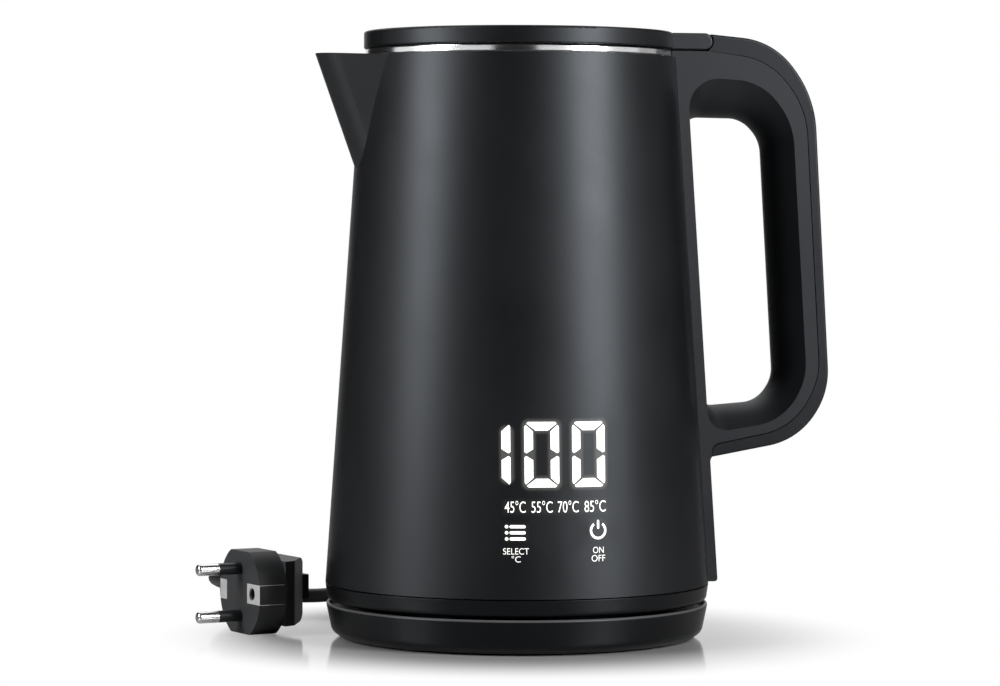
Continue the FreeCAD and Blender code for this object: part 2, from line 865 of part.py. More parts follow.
def spout_strainer():
    holes = []
    for row in range(strainer_rows):
        shift = strainer_pitch / 2 * (row % 2)
        z = strainer_top - strainer_pitch * row
        for column in range(strainer_columns - row % 2):
            y = shift + strainer_pitch * (column - (strainer_columns - 1) / 2)
            holes.append(rod(strainer_hole_radius, Vec(-pot_radius(z) - 5, y, z), Vec(-pot_radius(z) + 8, y, z)))
    return pot_cup().common(strainer_space(touch_gap)).cut(holes)


def rim_band():
    """Bright ring that caps the pot and hangs over the edge of the shell."""
    inner = pot_radius(pot_top()) - pot_wall
    return turned([
        (inner, pot_top(), 0),
        (rim_radius - rim_band_wall, pot_top(), 0),
        (rim_radius - rim_band_wall, rim_bottom, 0),
        (rim_radius, rim_bottom, 0.2),
        (rim_radius, rim_height, 0.7),
        (inner, rim_height, 0.4),
    ])


def rim_gasket():
    inner = pot_radius(shell_top) + slide_gap * 3
    outer = rim_radius - rim_band_wall - slide_gap
    return ring(inner, outer, shell_top, pot_top())


def spout_seal():
    top = spout_window_top() + slide_gap
    low = shell_top - spout_drop + 2.0
    back = Vec(-100, -spout_seal_half_width, low)
    front = Vec(-20, spout_seal_half_width, top)
    margin = Vec(0, spout_seal_width, spout_seal_width)
    frame = block(back - margin, front + Vec(0, spout_seal_width, window_lintel - slide_gap * 2))
    frame = frame.cut(block(back - Vec(1, 0, 0), front + Vec(1, 0, 0)))
    frame = frame.common(kettle_cone(shell_wall + touch_gap, low - 10, shell_top))
    return frame.cut(kettle_cone(shell_wall + jacket_gap - touch_gap, low - 20, shell_top + 10))


def heating_plate():
    plate = ring(0.001, heater_radius, heater_bottom, pot_floor)
    return plate.cut(rod(sensor_radius + touch_gap, Vec(sensor_circle, 0, 0), Vec(sensor_circle, 0, pot_floor)))


def heating_element():
    z = heater_bottom - element_radius
    start = (360.0 - element_sweep) / 2
    loop = Part.makeTorus(element_circle, element_radius, Vec(0, 0, z), UP, -180, 180, element_sweep)
    loop.rotate(Vec(0, 0, 0), UP, start)
    ends = []
    for angle in (start + 5, 360 - start - 5):
        top = on_circle(element_circle, angle, z)
        ends.append(rod(terminal_radius, top, top - UP * (element_radius + terminal_length)))
    return loop.fuse(ends).removeSplitter()


def connector_socket():
    bore = head_radius + socket_clearance
    return turned([
        (0, socket_roof, 0),
        (bore, socket_roof, 0),
        (bore, socket_bottom, 0.8),
        (socket_outer_radius, socket_bottom, 0.8),
        (socket_outer_radius, heater_bottom, 0),
        (0, heater_bottom, 0),
    ])


def socket_contacts():
    """Ring and pin that drop into the slot and the hole of the base connector."""
    gap = contact_thickness + slide_gap
    low = head_top - slot_depth + 1.5
    ring_contact = ring(slot_inner_radius + slide_gap * 2, slot_outer_radius - gap, low, socket_roof)
    pin = rod(centre_hole_radius - gap, UP * low, UP * socket_roof)
    return [ring_contact, pin]


def temperature_sensor():
    x = sensor_circle
    tip = pot_floor + pot_wall + sensor_height
    probe = rod(sensor_radius, Vec(x, 0, heater_bottom - 5), Vec(x, 0, tip))
    probe = probe.makeFillet(1.2, [e for e in probe.Edges if abs(e.BoundBox.ZMin - tip) < 1e-6])
    flange = rod(sensor_radius + 2, Vec(x, 0, heater_bottom - 2), Vec(x, 0, heater_bottom))
    return probe.fuse(flange).removeSplitter()


def sensor_seal():
    low = pot_floor + pot_wall
    seal = ring(sensor_radius, sensor_radius + seal_width, low, low + seal_height)
    seal.translate(Vec(sensor_circle, 0, 0))
    return seal


# Control panel

def segment_outlines():
    """The six bars round a digit, with mitred ends and cut corners, from its lower left corner."""
    w, h, t = digit_width, digit_height, digit_stroke
    gap, cut, r = segment_gap, segment_corner, segment_round
    half = h / 2
    top = [(cut, h, r), (w - cut, h, r), (w - cut / 2, h - cut * 0.4, r),
           (w - t - gap, h - t, r), (t + gap, h - t, r), (cut / 2, h - cut * 0.4, r)]
    upper_left = [(0, h - cut * 1.3, r), (cut * 0.3, h - cut * 0.7, r), (t, h - t - gap * 0.3, r),
                  (t, half + t * 0.63, r), (cut / 2, half + gap / 2, r), (0, half + gap / 2 + cut / 3, r)]
    bottom = [(a, h - b, r) for a, b, r in top]
    lower_left = [(a, h - b, r) for a, b, r in upper_left]
    upper_right = [(w - a, b, r) for a, b, r in upper_left]
    lower_right = [(w - a, b, r) for a, b, r in lower_left]
    return {"a": top, "b": upper_right, "c": lower_right, "d": bottom, "e": lower_left, "f": upper_left}


def panel_prism(corners, x, z):
    """Bar through the front wall of the kettle, from an outline placed at x and z."""
    shifted = [(a + x, b + z, r) for a, b, r in corners]
    return prism(shifted, side, Vec(0, -shell_bottom_radius - 10, 0), Vec(0, shell_bottom_radius - 30, 0))


def panel_rod(x, z, radius):
    return rod(radius, Vec(x, -shell_bottom_radius - 10, z), Vec(x, -40, z))


def panel_skin():
    low, high = board_bottom, digit_bottom + digit_height + 5
    return kettle_cone(0, low, high).cut(kettle_cone(inlay_depth, low - 1, high + 1))


def display_digits():
    segments = segment_outlines()
    shown = ["bc", "abcdef", "abcdef"]
    bars = []
    for i, letters in enumerate(shown):
        x = digit_last_x - digit_pitch * (len(shown) - 1 - i) - digit_width / 2
        bars += [panel_prism(segments[letter], x, digit_bottom) for letter in letters]
    skin = panel_skin()
    return [bar.common(skin) for bar in bars]


def touch_icons():
    """List icon on the left and power icon on the right, as lit inlays."""
    half = list_bar_stroke / 2
    end = half * 0.98
    bar = [(0, -half, end), (list_bar_length, -half, end), (list_bar_length, half, end), (0, half, end)]
    pieces = []
    for row in (-1, 0, 1):
        z = icon_height + row * list_bar_pitch
        pieces.append(panel_rod(list_left - list_dot_gap, z, list_dot_radius))
        pieces.append(panel_prism(bar, list_left, z))
    z = icon_height + power_lift
    half = power_ring_stroke / 2
    end = half * 0.98
    ring_band = panel_rod(power_x, z, power_ring_radius + half).cut(panel_rod(power_x, z, power_ring_radius - half))
    reach = power_ring_radius + power_ring_stroke
    spread = reach * math.tan(math.radians(power_ring_gap))
    notch = panel_prism([(0, 0, 0), (spread, reach, 0), (-spread, reach, 0)], power_x, z)
    stem = [(-half, 0, end), (half, 0, end), (half, power_stem_length, end), (-half, power_stem_length, end)]
    pieces += [ring_band.cut(notch), panel_prism(stem, power_x, z + power_stem_rise)]
    skin = panel_skin()
    return [piece.common(skin) for piece in pieces]


def board_front():
    """Distance of the board's front from the axis at its foot, clear of the wall at its edges."""
    return math.sqrt((shell_radius(board_bottom) - shell_wall - slide_gap) ** 2 - (board_width / 2) ** 2)


def lean(shape):
    """Tilt a piece at the front so that it follows the taper of the wall."""
    shape.rotate(Vec(0, -board_front(), board_bottom), Vec(1, 0, 0), -taper_angle)
    return shape


def control_board():
    front = board_front()
    return lean(block(Vec(-board_width / 2, -front, board_bottom),
                      Vec(board_width / 2, -front + board_thickness, board_bottom + board_height)))


def in_front_of_board(shape):
    return lean(shape).common(kettle_cone(shell_wall + slide_gap, board_bottom - 5, digit_bottom + 60))


def display_module():
    front = board_front()
    return in_front_of_board(block(
        Vec(-display_half_width, -front - 12, digit_bottom - display_margin),
        Vec(display_half_width, -front, digit_bottom + digit_height + display_margin)))


def touch_pads():
    front = board_front()
    list_x = list_left + list_bar_length / 2
    return [in_front_of_board(rod(touch_pad_radius, Vec(x, -front - 12, icon_height), Vec(x, -front, icon_height)))
            for x in (list_x, power_x)]


# Handle

def high(reach, rise, radius):
    """Handle corner by its reach from the wall and its rise above the top of the shell."""
    z = shell_top + rise
    return (shell_radius(z) + reach, z, radius)


def low(reach, rise, radius):
    """Handle corner by its reach from the wall and its rise above the handle's lower arm."""
    z = handle_low + rise
    return (shell_radius(z) + reach, z, radius)


def back_corners():
    return [high(39.0, 7.2, 30.0), high(55.1, -14.2, 44.0), low(53.8, 26.5, 30.0), low(40.2, 7.0, 29.0),
            low(cover_end_reach, 0.4, 0)]


def seam_corners():
    return [high(35.5, -0.4, 28.0), high(50.9, -17.7, 36.0), low(49.8, 32.0, 27.0), low(38.0, 12.0, 27.0),
            low(cover_end_reach, 5.4, cover_end_round)]


def finger_gap_corners(share):
    """Outline of the finger gap; share runs from 0 at the flat sides to 1 in the middle of the grip."""
    flat = [high(2.5, -7.4, 12.0), high(32.9, -9.0, 23.0), high(45.2, -25.2, 29.0),
            low(44.5, 32.5, 24.0), low(34.7, 14.7, 23.0), low(strap_proud, 9.9, 8.0)]
    middle = [high(2.6, -23.2, 6.5), high(27.9, -23.6, 13.0), high(35.3, -32.2, 14.0),
              low(34.6, 31.5, 12.5), low(27.7, 22.1, 12.5), low(strap_proud, 20.1, 6.0)]
    return [tuple(a + (b - a) * share for a, b in zip(f, m)) for f, m in zip(flat, middle)]


def finger_gap():
    """Hole with flared sides, so that the grip swells towards the fingers."""
    wires = []
    half = handle_width / 2
    for place in (-1.0, -0.75, -0.4, 0.0, 0.4, 0.75, 1.0):
        wire = outline(finger_gap_corners(1 - place ** 2), side)
        wire.translate(Vec(0, place * half, 0))
        wires.append(wire)
    return Part.makeLoft(wires, True, False)


def handle_screw_lines():
    """Seat and tip of each screw that holds the handle, from inside the wall."""
    lines = []
    for z in (shell_top - 5.5, handle_low + 11.0):
        for y in (-handle_width / 4, handle_width / 4):
            wall = math.sqrt((shell_radius(z) - shell_wall) ** 2 - (abs(y) + screw_head_radius) ** 2)
            lines.append((Vec(wall, y, z), Vec(wall + 14.0, y, z)))
    return lines


def strap_corners():
    foot = shell_radius(strap_bottom) + strap_proud
    inside = shell_top_radius - 15.0
    step = low(cover_end_reach, 0.4, 0)
    root = low(strap_proud, -0.6, 3.0)
    return [step, root, (foot, strap_bottom, 1.2), (inside, strap_bottom, 0),
            (inside, grip_top(), 0), (cover_start(), grip_top(), 0)]


def grip_channel():
    """Hollow in the back of the grip, closed by the cover."""
    margin = grip_channel_wall
    inner = finger_gap_corners(1.0)
    path = seam_corners()[:4]
    back = [(inner[4][0], inner[4][1] - margin, 10.0 + margin), (inner[3][0] + margin, inner[3][1], 9.0),
            (inner[2][0] + margin, inner[2][1], 14.0), (inner[1][0], inner[1][1] + margin, 12.0)]
    start = (pivot_x + 12.0, seam_height(pivot_x + 12.0) + 5.0, 0)
    entry = (pivot_x + 12.0, inner[1][1] + margin, 2.0)
    bulge = [(a + 3.0, b + 3.0 * (b > inner[2][1] - 40) - 3.0 * (b < inner[3][1] + 20), r) for a, b, r in path]
    end = (inner[4][0] - 12.0, bulge[3][1] - 3.0, 0)
    close = (inner[4][0] - 12.0, inner[4][1] - margin, 2.0)
    return across([start] + bulge + [end, close] + back + [entry], grip_channel_half_width)


def grip_top():
    """Height of the grip's ledge under the hinge lug of the lid."""
    return lid_bottom - slide_gap - touch_gap


def cover_start():
    """Where the cover begins, under the round end of the hinge lug."""
    return pivot_x + lug_radius / 2


def seam_height(x):
    """Height of the straight upper stretch of the seam."""
    end = seam_corners()[0]
    return grip_top() + (end[1] - grip_top()) * (x - cover_start()) / (end[0] - cover_start())


def ear_half_width():
    return handle_width / 2 - hinge_cheek - slide_gap


def handle_grip():
    half = handle_width / 2
    wall = kettle_cone(-touch_gap, 0, shell_top + touch_gap)
    rim = rod(rim_radius + slide_gap, UP * shell_top, UP * (shell_top + 30))
    blank = across(seam_corners() + strap_corners(), half).cut([finger_gap(), grip_channel(), wall, rim])
    ear_half = ear_half_width()
    ear_radius = lug_radius - ear_margin
    foot = block(Vec(pivot_x - ear_radius, -ear_half, shell_top - 1), Vec(pivot_x + ear_radius, ear_half, pivot_z))
    knuckle = rod(ear_radius, Vec(pivot_x, -ear_half, pivot_z), Vec(pivot_x, ear_half, pivot_z))
    pin_hole = rod(hinge_pin_radius, Vec(pivot_x, -half, pivot_z), Vec(pivot_x, half, pivot_z))
    pilots = [rod(screw_radius, seat, tip) for seat, tip in handle_screw_lines()]
    return blank.fuse([foot, knuckle]).cut([pin_hole] + pilots).removeSplitter()


def handle_cover():
    """Back of the handle; it touches the grip at both ends and leaves a thin seam between."""
    half = handle_width / 2
    start_x = cover_start()
    top = [(start_x, lid_top - 0.3, 0)] + back_corners()
    seam = [(a, b + seam_gap, r) for a, b, r in seam_corners()[:1]]
    seam += [(a + seam_gap, b, r) for a, b, r in seam_corners()[1:3]]
    seam += [(a, b - seam_gap, r) for a, b, r in seam_corners()[3:]]
    end = (back_corners()[-1][0] + touch_gap, back_corners()[-1][1], 0)
    seam_end = (end[0], seam[-1][1], cover_end_round)
    corners = top[:-1] + [end, seam_end] + seam[-2::-1] + [(start_x, grip_top() + touch_gap, 0)]
    cover = across(corners, half)
    outer = [e for e in cover.Edges if e.BoundBox.YLength < 1e-6 and on_back(e)]
    cover = cover.makeFillet(handle_edge_round, outer)
    knuckle = rod(lug_radius + slide_gap, Vec(pivot_x, -half - 1, pivot_z), Vec(pivot_x, half + 1, pivot_z))
    stop = block(Vec(pivot_x - 20, -half - 1, pivot_z), Vec(pivot_x + lug_radius + slide_gap, half + 1, pivot_z + 20))
    stop.rotate(Vec(pivot_x, 0, pivot_z), Vec(0, 1, 0), lid_open_angle - 90)
    ear_half = ear_half_width() + touch_gap
    ear = block(Vec(pivot_x - 20, -ear_half, shell_top), Vec(pivot_x + lug_radius, ear_half, pivot_z))
    return cover.cut([knuckle, stop, ear])


def on_back(edge):
    """Whether an edge lies on the back of the handle, away from the seam and from both ends of the cover."""
    middle = edge.valueAt((edge.FirstParameter + edge.LastParameter) / 2)
    grip = outline(seam_corners() + strap_corners(), side)
    apart = grip.distToShape(Part.Vertex(middle.x, 0, middle.z))[0]
    return middle.x > cover_start() + 1 and apart > 1.0


def handle_screws():
    return [screw(seat, tip - Vec(slide_gap, 0, 0)) for seat, tip in handle_screw_lines()]


def hinge_pin():
    half = handle_width / 2 - 2.0
    return rod(hinge_pin_radius, Vec(pivot_x, -half, pivot_z), Vec(pivot_x, handle_width / 2 - 0.2, pivot_z))


# Lid

def lid_boss_places():
    return [on_circle(lid_boss_circle, angle, 0) for angle in spaced(lid_screw_count, 60.0)]


def lid_cover():
    half = handle_width / 2
    recess = lid_radius - lid_wall
    roof = lid_top - lid_top_thickness
    disc = turned([
        (0, lid_top, 0),
        (lid_radius, lid_top, lid_top_round),
        (lid_radius, lid_bottom, lid_bottom_round),
        (recess, lid_bottom, 0),
        (recess, roof, 1.0),
        (0, roof, 0),
    ])
    root = recess + 1.5
    end = pivot_x + lug_radius
    tip_round = lug_radius * 0.99
    lug = across([(root, lid_bottom, 0), (end, lid_bottom, tip_round), (end, lid_top, tip_round),
                  (root, lid_top, 0)], half)
    lug = lug.makeFillet(lug_edge_round, [e for e in lug.Edges if e.BoundBox.YLength < 1e-6
                                          and e.CenterOfMass.x > root + 1 and e.CenterOfMass.z > lid_bottom + 0.1])
    bosses = [rod(lid_boss_radius, place + UP * (lid_plug_bottom + lid_plate_thickness), place + UP * roof)
              for place in lid_boss_places()]
    slot_half = half - hinge_cheek
    slot = block(Vec(pivot_x - hinge_slot_length, -slot_half, lid_bottom - 1),
                 Vec(pivot_x + 10, slot_half, lid_top + 1))
    pin_hole = rod(hinge_pin_radius + hinge_clearance, Vec(pivot_x, -half + 1.8, pivot_z),
                   Vec(pivot_x, half, pivot_z))
    pilots = [rod(screw_radius, place, place + UP * (roof - 4)) for place in lid_boss_places()]
    return disc.fuse([lug] + bosses).cut([slot, pin_hole] + pilots).removeSplitter()


def lid_inner_plate():
    t = lid_plate_thickness
    flange_low = lid_bottom + lid_gap
    plate = turned([
        (0, lid_plug_bottom, 0),
        (lid_plug_radius, lid_plug_bottom, 3.0),
        (lid_plug_radius, flange_low, 0.4),
        (lid_radius - lid_wall - slide_gap, flange_low, 0),
        (lid_radius - lid_wall - slide_gap, flange_low + t, 0),
        (lid_plug_radius - t, flange_low + t, 1.0),
        (lid_plug_radius - t, lid_plug_bottom + t, 3.0 - t),
        (0, lid_plug_bottom + t, 0),
    ])
    holes = [rod(screw_radius + touch_gap, place, place + UP * (lid_plug_bottom + 5))
             for place in lid_boss_places()]
    return plate.cut(holes)


def lid_gasket():
    lip = lid_plug_radius + gasket_lip
    return turned([
        (lid_plug_radius, gasket_low, 0),
        (lid_plug_radius + 1.2, gasket_low, 0.4),
        (lip, gasket_lip_height, 0.3),
        (lid_plug_radius + 1.2, gasket_low + gasket_height, 0.4),
        (lid_plug_radius, gasket_low + gasket_height, 0),
    ])


def lid_screws():
    return [screw(place + UP * lid_plug_bottom, place + UP * (lid_plug_bottom + 9)) for place in lid_boss_places()]


os.makedirs("parts", exist_ok=True)

keep("base_housing", base_housing())
keep("base_bottom_plate", base_plate())
keep("base_foot_ring", ring(foot_ring_radius - foot_ring_width, foot_ring_radius, 0,
                            base_underside + foot_ring_depth))
keep("base_screws", *base_screws())
keep("connector_collar", connector_collar())
keep("base_wires", *base_wires())
keep("connector_head", connector_head())
keep("connector_head_contacts", *head_contacts())

keep("cord_gland", cord_gland())
first_run, second_run = cord_runs()
keep("cord_to_coil", first_run)
keep("cord_coil", cord_coil())
keep("coil_tie", coil_tie())
keep("cord_to_plug", second_run)
keep("plug_body", on_table(plug_body()))
keep("plug_pins", *[on_table(s) for s in plug_pins()])
keep("plug_pin_sleeves", *[on_table(s) for s in plug_sleeves()])
keep("plug_earth_contacts", *[on_table(s) for s in earth_contacts()])
keep("plug_strain_relief", on_table(plug_relief()))

digits = display_digits()
icons = touch_icons()
keep("outer_shell", outer_shell(digits + icons))
keep("display_digits", *digits)
keep("touch_icons", *icons)
keep("control_board", control_board())
keep("display_module", display_module())
keep("touch_pads", *touch_pads())
keep("bottom_cover", bottom_cover())
keep("bottom_screws", *bottom_screws())
keep("inner_pot", inner_pot())
keep("rim_band", rim_band())
keep("spout_strainer", spout_strainer())
keep("rim_gasket", rim_gasket())
keep("spout_seal", spout_seal())
keep("heating_plate", heating_plate())
keep("heating_element", heating_element())
keep("connector_socket", connector_socket())
keep("socket_contacts", *socket_contacts())
keep("temperature_sensor", temperature_sensor())
keep("sensor_seal", sensor_seal())
keep("handle_grip", handle_grip())
keep("handle_cover", handle_cover())
keep("handle_screws", *handle_screws())
keep("hinge_pin", hinge_pin())
keep("lid_cover", lid_cover())
keep("lid_inner_plate", lid_inner_plate())
keep("lid_gasket", lid_gasket())
keep("lid_screws", *lid_screws())
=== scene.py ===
import math

import bmesh
import bpy
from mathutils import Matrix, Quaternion, Vector


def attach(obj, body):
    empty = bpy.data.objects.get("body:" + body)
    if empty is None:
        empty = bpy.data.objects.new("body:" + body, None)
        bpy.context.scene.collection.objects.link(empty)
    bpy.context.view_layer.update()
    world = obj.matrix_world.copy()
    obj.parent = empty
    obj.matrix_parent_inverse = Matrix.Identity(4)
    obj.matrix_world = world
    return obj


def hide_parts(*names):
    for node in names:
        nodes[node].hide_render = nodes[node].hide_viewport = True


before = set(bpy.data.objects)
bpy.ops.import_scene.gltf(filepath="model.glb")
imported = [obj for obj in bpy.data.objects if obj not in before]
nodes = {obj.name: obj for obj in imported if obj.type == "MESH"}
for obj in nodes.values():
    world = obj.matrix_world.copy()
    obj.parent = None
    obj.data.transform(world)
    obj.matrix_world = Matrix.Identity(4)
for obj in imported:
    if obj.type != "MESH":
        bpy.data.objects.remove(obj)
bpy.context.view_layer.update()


# Outer shell with its spout: one moulding of black plastic round the steel pot. Its skin is satin, with a
# fine even grain and faint clouds where the plastic cooled more slowly. Screws hold it to the bottom cover.

class Value:
    """A socket of a material's node tree. Arithmetic on it adds Math nodes to the same tree."""

    def __init__(self, socket):
        self.socket = socket

    def node(self, kind, settings, sockets, output=0):
        """Add a node, make its settings, fill or link its sockets, and give the output asked for."""
        made = self.socket.id_data.nodes.new("ShaderNode" + kind)
        for name, setting in settings.items():
            setattr(made, name, setting)
        for name, value in sockets.items():
            feed(made.inputs[name], value)
        return Value(made.outputs[output])

    def math(self, operation, first, second=0.0):
        return self.node("Math", {"operation": operation}, {0: first, 1: second})

    def vector(self, operation, *others, output=0):
        """Vector maths on this vector. Output 1 is for the operations that give a number."""
        return self.node("VectorMath", {"operation": operation}, dict(enumerate((self, *others))), output)

    def axis(self, number):
        """One of a vector's three numbers."""
        return self.node("SeparateXYZ", {}, {0: self}, number)

    def __add__(self, other):
        return self.math("ADD", self, other)

    def __sub__(self, other):
        return self.math("SUBTRACT", self, other)

    def __rsub__(self, other):
        return self.math("SUBTRACT", other, self)

    def __mul__(self, other):
        return self.math("MULTIPLY", self, other)

    __radd__ = __add__
    __rmul__ = __mul__


def feed(socket, value):
    """Set a socket, or link it if the value comes from another node."""
    if isinstance(value, Value):
        socket.id_data.links.new(value.socket, socket)
    else:
        socket.default_value = value


def new_finish(name, **fixed):
    """A material with its shader's sockets and the Object coordinates that its patterns read."""
    material = bpy.data.materials.new(name)
    material.use_nodes = True
    tree = material.node_tree
    shader = tree.nodes["Principled BSDF"].inputs
    for socket, value in fixed.items():
        shader[socket.replace("_", " ")].default_value = value
    return material, shader, Value(tree.nodes.new("ShaderNodeTexCoord").outputs["Object"])


def noise(place, scale, detail=2.0):
    """A soft random pattern round 0.5, with about so many waves to the metre."""
    return place.node("TexNoise", {}, {"Vector": place, "Scale": scale, "Detail": detail})


def between(factor, low, high, first=0.0, second=1.0):
    """The factor from low to high as a smooth change from the first number to the second."""
    return factor.node("MapRange", {"interpolation_type": "SMOOTHSTEP"},
                       {"Value": factor, "From Min": low, "From Max": high,
                        "To Min": first, "To Max": second})


def clouds(place, scale):
    """Soft patches from 0 to 1, flat at both ends."""
    return between(noise(place, scale, 3.0), 0.3, 0.7)


def two_tone(factor, first, second):
    """A colour that runs from the first to the second with the factor."""
    return factor.node("Mix", {"data_type": "RGBA"}, {0: factor, 6: (*first, 1), 7: (*second, 1)}, output=2)


def raised(height, depth):
    """A normal for a surface that rises by the depth, in metres, where the height is 1."""
    return height.node("Bump", {}, {"Height": height, "Strength": 1.0, "Distance": depth})


def dress(finish, *names):
    """Give CAD nodes a finish."""
    for name in names:
        nodes[name].data.materials.clear()
        nodes[name].data.materials.append(finish)


cool_sheen = (0.86, 0.92, 1.0, 1.0)


def shell_skin():
    """Satin black. The shader and its coordinates are given too, for the display's light on the shell."""
    material, shader, place = new_finish("shell_black", Specular_IOR_Level=0.4, Specular_Tint=cool_sheen)
    cloud = clouds(place, 22.0)
    skin = noise(place, 900.0)
    feed(shader["Base Color"], two_tone(cloud, (0.0022, 0.0023, 0.0026), (0.003, 0.0031, 0.0034)))
    feed(shader["Roughness"], cloud * 0.05 + 0.39 + (skin - 0.5) * 0.06)
    feed(shader["Normal"], raised(skin, 0.000012))
    return material, shader, place


shell_finish, shell_shader, shell_place = shell_skin()
dress(shell_finish, "outer_shell")


# Lid cover, base and bottom cover: black plastic from a spark-eroded mould, so the skin has a very fine
# even grain, a touch glossier in patches. The bottom cover is screwed up into the shell. A lighter grey
# line is painted along the top edge of the base's rim as a painted highlight.

# Grey of the painted highlight on the base's rim edge, and how far below the edge it starts and is full.
painted_highlight_grey = (0.075, 0.076, 0.079, 1)
highlight_start, highlight_full = 0.0011, 0.0004


def moulded_plastic(name, dark, light, rough, grain, shine=0.4, highlight_rim_height=None):
    """Plastic with a fine grain. A rim height, in metres, lays a painted highlight of lighter grey just under
    it.
    """
    material, shader, place = new_finish(name, Specular_IOR_Level=shine, Specular_Tint=cool_sheen)
    cloud = clouds(place, 30.0)
    skin = noise(place, grain)
    color = two_tone(cloud, dark, light)
    if highlight_rim_height:
        # Painted highlight: the colour turns lighter grey in a band just under the rim's top edge.
        painted_highlight_mask = between(place.axis(2), highlight_rim_height - highlight_start, highlight_rim_height - highlight_full)
        color = painted_highlight_mask.node("Mix", {"data_type": "RGBA"}, {0: painted_highlight_mask, 6: color, 7: painted_highlight_grey}, output=2)
    feed(shader["Base Color"], color)
    feed(shader["Roughness"], cloud * 0.06 + rough + (skin - 0.5) * 0.08)
    feed(shader["Normal"], raised(skin, 0.00002))
    return material


base_rim_height = 0.0142
base_tones = ((0.0016, 0.0016, 0.0018), (0.0024, 0.0024, 0.0026))
dress(moulded_plastic("lid_black", (0.0026, 0.0027, 0.003), (0.0036, 0.0037, 0.004), rough=0.36,
                      grain=1400.0), "lid_cover")
dress(moulded_plastic("base_black", *base_tones, rough=0.34, grain=1400.0, shine=0.2),
      "base_bottom_plate", "bottom_cover")
# The base's housing gets the painted highlight along its rim.
dress(moulded_plastic("base_painted_highlight", *base_tones, rough=0.34, grain=1400.0, shine=0.2,
                      highlight_rim_height=base_rim_height), "base_housing")


# Handle: the grip is a soft-touch moulding, and a smoother cover closes its back along the fine seam.
# Four screws from inside the shell hold the grip.

dress(moulded_plastic("grip_black", (0.005, 0.0052, 0.0058), (0.007, 0.0072, 0.0078), rough=0.44,
                      grain=1100.0, shine=0.32), "handle_grip")
dress(moulded_plastic("cover_black", (0.003, 0.0031, 0.0035), (0.0042, 0.0043, 0.0047), rough=0.38,
                      grain=1400.0, shine=0.28), "handle_cover")


# Pot, rim and strainer: the pot and the lid's inner plate are spun from stainless steel and keep the fine
# rings of the lathe. The rim band over the pot's edge is polished and shows as the bright line under the lid.

lathe_rings = (6.0, 6.0, 2600.0)


def spun_steel(name, rough, depth):
    """Bright steel with rings that lie close up the wall and run long round it."""
    material, shader, place = new_finish(name, Metallic=1.0)
    rings = noise(place.vector("MULTIPLY", lathe_rings), 1.0, 3.0)
    feed(shader["Base Color"], two_tone(rings, (0.76, 0.76, 0.77), (0.86, 0.86, 0.87)))
    feed(shader["Roughness"], rings * rough + rough)
    feed(shader["Normal"], raised(rings, depth))
    return material


dress(spun_steel("pot_steel", rough=0.16, depth=0.000012), "inner_pot", "spout_strainer", "lid_inner_plate")
dress(spun_steel("rim_polish", rough=0.11, depth=0.000001), "rim_band")


# Small metal pieces: screws, hinge pin, heater tube and sensor in plain turned steel, the heater plate in
# aluminium, and the connector's rings in brass.

tool_marks = (300.0, 300.0, 4000.0)


def turned_metal(name, dark, light, rough):
    """Metal with a faint bloom and short marks of the tool."""
    material, shader, place = new_finish(name, Metallic=1.0)
    bloom = noise(place, 260.0, 4.0)
    marks = noise(place.vector("MULTIPLY", tool_marks), 1.0)
    feed(shader["Base Color"], two_tone(bloom, dark, light))
    feed(shader["Roughness"], bloom * 0.12 + rough)
    feed(shader["Normal"], raised(marks, 0.00001))
    return material


dress(turned_metal("screw_steel", (0.42, 0.42, 0.43), (0.6, 0.6, 0.61), rough=0.26),
      "base_screws", "bottom_screws", "handle_screws", "lid_screws", "hinge_pin", "heating_element",
      "temperature_sensor")
dress(turned_metal("plate_aluminium", (0.6, 0.6, 0.61), (0.74, 0.74, 0.75), rough=0.34), "heating_plate")
dress(turned_metal("contact_brass", (0.62, 0.44, 0.17), (0.76, 0.57, 0.26), rough=0.24),
      "connector_head_contacts", "socket_contacts")


# Seals and feet: silicone round the lid, the rim, the spout and the sensor, and a black rubber ring that
# sits in a groove under the base. The band on the coiled lead is of the same rubber.

def rubber(name, dark, light, rough, grain):
    """Rubber or silicone with a dull, slightly uneven skin."""
    material, shader, place = new_finish(name, Specular_IOR_Level=0.35)
    bloom = noise(place, 60.0, 4.0)
    skin = noise(place, grain, 3.0)
    feed(shader["Base Color"], two_tone(bloom, dark, light))
    feed(shader["Roughness"], rough + (skin - 0.5) * 0.15)
    feed(shader["Normal"], raised(skin, 0.00003))
    return material


dress(rubber("clear_silicone", (0.5, 0.5, 0.48), (0.62, 0.62, 0.6), rough=0.5, grain=700.0),
      "lid_gasket", "rim_gasket", "spout_seal", "sensor_seal")
dress(rubber("foot_rubber", (0.012, 0.012, 0.012), (0.022, 0.022, 0.022), rough=0.7, grain=900.0),
      "base_foot_ring", "coil_tie")


# Connector and electrics: the swivel head, its collar and the socket over it are a heat-proof grey moulding
# that carries the brass rings. The block of lamps and the touch pads behind the shell are the same grey, the
# wires have a lighter cover, and the control board is green laminate.

dress(moulded_plastic("connector_grey", (0.05, 0.05, 0.05), (0.075, 0.075, 0.075), rough=0.5, grain=900.0),
      "connector_collar", "connector_head", "connector_socket", "display_module", "touch_pads")
dress(moulded_plastic("wire_cover", (0.09, 0.09, 0.1), (0.13, 0.13, 0.14), rough=0.4, grain=900.0),
      "base_wires")
dress(moulded_plastic("board_green", (0.01, 0.07, 0.03), (0.015, 0.1, 0.04), rough=0.4, grain=500.0),
      "control_board")


# Display: white lamps behind clear bars that lie flush in the shell. Their light is not quite even, and a
# little of it spills on the shell round the digits, the words and the keys.

digit_width, digit_height, digit_stroke = 0.0133, 0.0249, 0.0033
digit_bottom, digit_last, digit_pitch = 0.0648, 0.0127, 0.0185
one_place, one_half = -0.019, (0.0, 0.0085)
nought_half = ((digit_width - digit_stroke) / 2, (digit_height - digit_stroke) / 2)
digit_middle = digit_bottom + digit_height / 2
